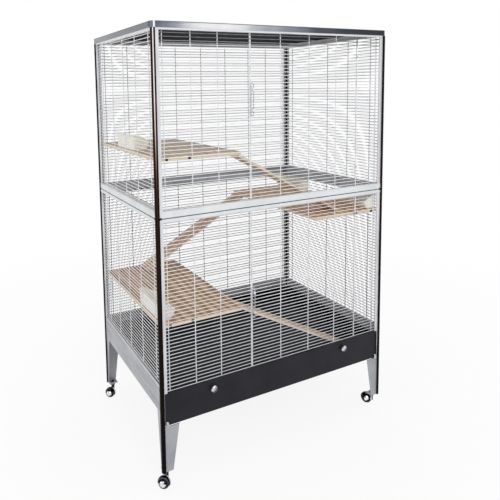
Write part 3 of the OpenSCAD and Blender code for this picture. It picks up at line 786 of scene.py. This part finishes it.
# The rolled rim, from the outer wall over the top to the inner wall: inset, and depth below the rim's line
BOWL_RIM = (
    (1.4, 4.6), (0.5, 4.1), (0.05, 3.4), (0.05, 1.2), (0.4, 0.4), (1.1, 0.02),
    (2.5, 0.02), (3.2, 0.4), (3.5, 1.2), (3.6, 4.6),
)
# How softly the rim's line bends, as a squared length
BOWL_BEND = 12


def bowl_outline(width, length, inset, steps=6):
    """Points round a bowl in millimetres, with extra ones where its rim starts to slant."""
    radius = max(BOWL_CORNER_R - inset, BOWL_LEAST_R)
    bends = [BOWL_LEVEL + d for d in (-8, -4, -2, 0, 2, 4, 8, 16)]
    points = []
    for quarter, (far, along) in enumerate(((1, 1), (0, 1), (0, -1), (1, -1))):
        if quarter == 1:
            points += [(u, length / 2 - inset) for u in reversed(bends)]
        if quarter == 3:
            points += [(u, inset - length / 2) for u in bends]
        u0 = width - inset - radius if far else inset + radius
        v0 = along * (length / 2 - inset - radius)
        for i in range(steps + 1):
            a = math.radians(90 * (quarter + i / steps))
            points.append((u0 + radius * math.cos(a), v0 + radius * math.sin(a)))
    return points


def trough(node):
    """A moulded bowl with leaning walls, a rolled rim and rounded inner corners."""
    low, high = box(node)
    left = low.x < 0
    width, length, tall = (high - low) / MM
    fall = (tall - BOWL_LIP) / (width - BOWL_LEVEL)
    lean = (width - BOWL_FLOOR) / BOWL_LIP

    def rim(u):
        past = u - BOWL_LEVEL
        return tall - fall * (past + math.sqrt(past * past + BOWL_BEND)) / 2

    rims = [rim(u) for u, _ in bowl_outline(width, length, 0)]

    def ring(inset, heights):
        """The outline at an inset, with a height for each of its points."""
        row = []
        for (u, v), z in zip(bowl_outline(width, length, inset), heights):
            u = min(u, BOWL_FLOOR + lean * z - inset * math.hypot(1, lean))
            x = low.x + u * MM if left else high.x - u * MM
            row.append((x, (low.y + high.y) / 2 + v * MM, low.z + z * MM))
        return row

    def level_ring(inset, height):
        return ring(inset, [height] * len(rims))

    def rounded_edge(inset, radius, base, degrees):
        """Rings round the edge between a level face and a wall."""
        return [
            level_ring(inset + radius * (1 - math.sin(a)), base + radius * (1 - math.cos(a)))
            for a in map(math.radians, degrees)
        ]

    bm = bmesh.new()
    loft(bm, [
        *rounded_edge(BOWL_OUTER[0], BOWL_FOOT_R, 0, (0, 30, 60, 90)),
        level_ring(BOWL_OUTER[1], BOWL_HALFWAY),
        *(ring(inset, [z - depth for z in rims]) for inset, depth in BOWL_RIM),
        level_ring(BOWL_INNER[1], BOWL_HALFWAY),
        *rounded_edge(BOWL_INNER[0], BOWL_INNER_R, BOWL_FLOOR_T, (90, 60, 30, 0)),
    ])
    piece(node.replace("bowl", "trough"), bm, [BOWL], "cage", [node])


for node in ("bowl_upper_left", "bowl_middle_back", "bowl_middle_front", "bowl_lower_left"):
    trough(node)


# ---- fittings ----

OUT_FRONT = Matrix.Rotation(math.radians(90), 4, "X")
OUT_BACK = Matrix.Rotation(math.radians(-90), 4, "X")
OUT_LEFT = Matrix.Rotation(math.radians(-90), 4, "Y")
OUT_RIGHT = Matrix.Rotation(math.radians(90), 4, "Y")

# A knob's outline as shares of its radius and its length, from the collar to the head
KNOB_SHAPE = (
    (0.9, 0), (0.96, 0.02), (0.96, 0.09), (0.91, 0.12), (0.54, 0.14), (0.46, 0.2), (0.48, 0.27),
    (0.68, 0.33), (0.92, 0.4), (0.99, 0.51), (0.99, 0.63), (0.93, 0.77), (0.79, 0.885), (0.56, 0.964),
    (0.28, 0.996), (0.03, 1),
)
KNOB_COLLAR = 0.13


def knobs():
    """Turned knobs: a dark collar, a neck and a rounded head."""
    low, high = box("drawer_knobs")
    radius, length = (high.z - low.z) / 2 / MM, (high.y - low.y) / MM
    profile = [(radius * r, length * h) for r, h in KNOB_SHAPE]
    index = [1 if h < KNOB_COLLAR else 0 for _, h in KNOB_SHAPE][:-1]
    bm = bmesh.new()
    for x in (low.x + radius * MM, high.x - radius * MM):
        matrix = Matrix.Translation((x, high.y, (low.z + high.z) / 2)) @ OUT_FRONT
        lathe(bm, profile, matrix, index)
    piece("knobs_turned", bm, [KNOB, FIXING], "drawer", ["drawer_knobs"])


# Outline of a catch's head, and the half width, corner radius, length and thickness of its tongue
CATCH_HEAD = (
    (4.7, 0), (5, 0.4), (5, 3.2), (4.6, 4.1), (3.6, 4.6), (2.2, 4.85), (1.7, 4.9), (1.5, 4.1), (0.4, 4.0),
)
CATCH_R = 5 * MM
TONGUE_HALF = 4.9
TONGUE_R = 3
TONGUE_LEN = 11
TONGUE_T = 1.5 * MM


def catches():
    """Domed heads with a round socket, over tongues with rounded ends."""
    low, high = box("drawer_catches")
    end = [(-TONGUE_HALF, 0)]
    for middle, start in ((TONGUE_R - TONGUE_HALF, 180), (TONGUE_HALF - TONGUE_R, 270)):
        for i in range(5):
            a = math.radians(start + 22.5 * i)
            end.append((middle + TONGUE_R * math.cos(a), TONGUE_R * math.sin(a) - TONGUE_LEN))
    end.append((TONGUE_HALF, 0))
    bm = bmesh.new()
    z = high.z - CATCH_R
    for x in (low.x + CATCH_R, high.x - CATCH_R):
        tongue = bmesh.new()
        prism(tongue, [(x + u * MM, z + v * MM) for u, v in end], low.y + 0.02 * MM, low.y + TONGUE_T)
        soften(tongue, 0.35 * MM)
        part = bpy.data.meshes.new("tongue")
        tongue.to_mesh(part)
        tongue.free()
        bm.from_mesh(part)
        lathe(bm, CATCH_HEAD, Matrix.Translation((x, high.y, z)) @ OUT_FRONT)
    piece("catches_domed", bm, [FITTING], "drawer", ["drawer_catches"])


# Outline of a bolt's head, its height above the sheet, and its distance from the next outer side of the heads
BOLT_HEAD = (
    (3.9, 0), (4, 0.2), (4, 0.9), (3.8, 1.4), (3.2, 2.2), (2.4, 2.8), (1.8, 3.0), (1.6, 2.9), (1.5, 1.6),
    (0.3, 1.5),
)
BOLT_OUT = 3 * MM
BOLT_SET = 16.1 * MM


def seam_bolts():
    """Domed bolts with a round socket, two at each corner."""
    low, high = box("module_bolts")
    z = (low.z + high.z) / 2
    bm = bmesh.new()
    for x in (high.x - BOLT_SET, low.x + BOLT_SET):
        for y, out in ((low.y + BOLT_OUT, OUT_FRONT), (high.y - BOLT_OUT, OUT_BACK)):
            lathe(bm, BOLT_HEAD, Matrix.Translation((x, y, z)) @ out, count=24)
    for y in (high.y - BOLT_SET, low.y + BOLT_SET):
        for x, out in ((low.x + BOLT_OUT, OUT_LEFT), (high.x - BOLT_OUT, OUT_RIGHT)):
            lathe(bm, BOLT_HEAD, Matrix.Translation((x, y, z)) @ out, count=24)
    piece("seam_bolts_domed", bm, [FIXING], "cage", ["module_bolts"])


knobs()
catches()
seam_bolts()


# ---- castors ----

JOINTS = {joint["name"]: joint for joint in frame["joints"]}
# Height and trail of a ball's middle, radius of its hood, and the tilt and set-back of the hood's mouth
BALL_Z = 19
TRAIL = 24
HOOD_R = 21.2
HOOD_TILT = 40
HOOD_BACK = 5
# Thickness and set-out of the bead round the mouth, and the stretch of the mouth that it follows
BEAD_R = 1.1
BEAD_OUT = 0.6
BEAD_START, BEAD_SWEEP = -40, 260
COLLAR = ((7.02, 41), (8.6, 41.3), (9.1, 42), (9.1, 43.4), (8.6, 44.1), (7.02, 44.4))


def castor_place(corner):
    """The stem's place and the direction of the trail, in whole degrees, as the joints have them."""
    stem = Vector(JOINTS[f"caster_{corner}_swivel"]["pos_m"])
    trail = Vector(JOINTS[f"ball_{corner}_roll"]["pos_m"]) - stem
    turn = math.radians(round(math.degrees(math.atan2(trail.y, trail.x))))
    return Matrix.Translation((stem.x, stem.y, 0)) @ Matrix.Rotation(turn, 4, "Z")


def castor_trim(corner, steps=36, sides=10):
    """A rolled bead round the mouth of a hood, and a collar round its swivel."""
    bm = bmesh.new()
    tilt = math.radians(HOOD_TILT)
    normal = Vector((-math.sin(tilt), 0, math.cos(tilt)))
    up = Vector((math.cos(tilt), 0, math.sin(tilt)))
    middle = Vector((TRAIL, 0, BALL_Z)) - HOOD_BACK * normal
    radius = math.sqrt(HOOD_R ** 2 - HOOD_BACK ** 2)
    rings = []
    for i in range(steps + 1):
        t = math.radians(BEAD_START + BEAD_SWEEP * i / steps)
        out = Vector((0, math.cos(t), 0)) + up * math.sin(t)
        rings.append([
            (middle + out * (radius + BEAD_R * math.cos(a)) + normal * (BEAD_OUT + BEAD_R * math.sin(a))) * MM
            for a in (2 * math.pi * k / sides for k in range(sides))
        ])
    loft(bm, rings)
    lathe(bm, COLLAR, Matrix.Identity(4), closed=True)
    bm.transform(castor_place(corner))
    piece("castor_trim_" + corner, bm, [CHROME], "caster_" + corner)


for corner in CORNERS:
    castor_trim(corner)


# ---- floor, light and camera ----


def rays_of(tree, *kinds):
    """1 for the rays of these kinds, which see the background, and 0 for those that light the object."""
    rays = tree.nodes.new("ShaderNodeLightPath").outputs
    seen = rays[kinds[0]]
    for kind in kinds[1:]:
        either = tree.nodes.new("ShaderNodeMath")
        either.operation = "MAXIMUM"
        tree.links.new(seen, either.inputs[0])
        tree.links.new(rays[kind], either.inputs[1])
        seen = either.outputs[0]
    return seen


def mix_to_output(tree, fac, plain, background, out):
    """Sends one shader, or where fac is 1 the background's, to the output."""
    mix = tree.nodes.new("ShaderNodeMixShader")
    tree.links.new(fac, mix.inputs["Fac"])
    tree.links.new(plain.outputs[0], mix.inputs[1])
    tree.links.new(background.outputs[0], mix.inputs[2])
    tree.links.new(mix.outputs[0], tree.nodes.new(out).inputs["Surface"])


def stage_floor(half=14, grey=0.82, fade_from=(0.7, 0.88), fade_to=(2.6, 1.0)):
    """A pale floor that keeps the object's shadow, and fades to white with the distance from the object.

    The fade's two ends are a distance and a share of white.
    """
    mesh = bpy.data.meshes.new("floor")
    corners = [(x * half, y * half, 0) for x, y in ((-1, -1), (1, -1), (1, 1), (-1, 1))]
    mesh.from_pydata(corners, [], [(0, 1, 2, 3)])
    floor = bpy.data.objects.new("floor", mesh)
    bpy.context.scene.collection.objects.link(floor)
    material = bpy.data.materials.new("floor_white")
    material.use_nodes = True
    tree = material.node_tree
    tree.nodes.clear()
    matte = tree.nodes.new("ShaderNodeBsdfDiffuse")
    matte.inputs["Color"].default_value = (grey, grey, grey, 1)
    reach = tree.nodes.new("ShaderNodeVectorMath")
    reach.operation = "LENGTH"
    tree.links.new(tree.nodes.new("ShaderNodeTexCoord").outputs["Object"], reach.inputs[0])
    fade = tree.nodes.new("ShaderNodeMapRange")
    fade.inputs["From Min"].default_value, fade.inputs["To Min"].default_value = fade_from
    fade.inputs["From Max"].default_value, fade.inputs["To Max"].default_value = fade_to
    tree.links.new(reach.outputs["Value"], fade.inputs["Value"])
    share = tree.nodes.new("ShaderNodeMath")
    share.operation = "MULTIPLY"
    tree.links.new(rays_of(tree, "Is Camera Ray", "Is Glossy Ray"), share.inputs[0])
    tree.links.new(fade.outputs["Result"], share.inputs[1])
    white = tree.nodes.new("ShaderNodeEmission")
    mix_to_output(tree, share.outputs[0], matte, white, "ShaderNodeOutputMaterial")
    mesh.materials.append(material)


def make_world(strength):
    """Soft white light from all sides, with a plain white background."""
    world = bpy.data.worlds.new("studio")
    world.use_nodes = True
    bpy.context.scene.world = world
    tree = world.node_tree
    tree.nodes.clear()
    soft, white = (tree.nodes.new("ShaderNodeBackground") for _ in range(2))
    for background, power in ((soft, strength), (white, 1.0)):
        background.inputs["Color"].default_value = (1, 1, 1, 1)
        background.inputs["Strength"].default_value = power
    seen = rays_of(tree, "Is Camera Ray", "Is Glossy Ray", "Is Transmission Ray")
    mix_to_output(tree, seen, soft, white, "ShaderNodeOutputWorld")


def area_light(name, place, target, size, watts):
    """A rectangular lamp at a place that shines at a target."""
    data = bpy.data.lights.new(name, "AREA")
    data.shape = "RECTANGLE"
    data.size, data.size_y = size
    data.energy = watts
    lamp = bpy.data.objects.new(name, data)
    bpy.context.scene.collection.objects.link(lamp)
    lamp.location = place
    aim = Vector(target) - Vector(place)
    lamp.rotation_euler = aim.to_track_quat("-Z", "Y").to_euler()


CAMERA_PLACE = (-1.0649, -1.7595, 1.2915)
CAMERA_YAW, CAMERA_PITCH, CAMERA_ROLL = 26.442, -5.933, -1.08
LENS_MM = 37.45
FRAME_SHIFT = (0.1133, -0.2151)


def make_camera():
    """The photograph's view: a perspective camera, tilted a little down, with its frame shifted."""
    yaw, pitch, roll = (math.radians(a) for a in (CAMERA_YAW, CAMERA_PITCH, CAMERA_ROLL))
    ahead = Vector((math.sin(yaw) * math.cos(pitch), math.cos(yaw) * math.cos(pitch), math.sin(pitch)))
    side = Vector((math.cos(yaw), -math.sin(yaw), 0))
    over = side.cross(ahead)
    right = side * math.cos(roll) + over * math.sin(roll)
    up = over * math.cos(roll) - side * math.sin(roll)
    data = bpy.data.cameras.new("camera")
    data.sensor_width = 36
    data.lens = LENS_MM
    data.shift_x, data.shift_y = FRAME_SHIFT
    data.clip_start, data.clip_end = 0.05, 60
    camera = bpy.data.objects.new("camera", data)
    bpy.context.scene.collection.objects.link(camera)
    turn = Matrix((right, up, -ahead)).transposed()
    camera.matrix_world = Matrix.Translation(CAMERA_PLACE) @ turn.to_4x4()
    bpy.context.scene.camera = camera


stage_floor()
make_world(strength=0.62)
area_light("key", (-1.2, -3.4, 2.9), (0, 0, 0.8), size=(2.6, 2.2), watts=62)
area_light("side", (-3.6, -0.4, 2.0), (0, 0, 0.7), size=(2.0, 2.4), watts=22)
area_light("top", (0.4, 0.2, 3.6), (0, 0, 0.7), size=(2.6, 2.2), watts=26)
make_camera()
bpy.context.scene.view_settings.view_transform = "Standard"
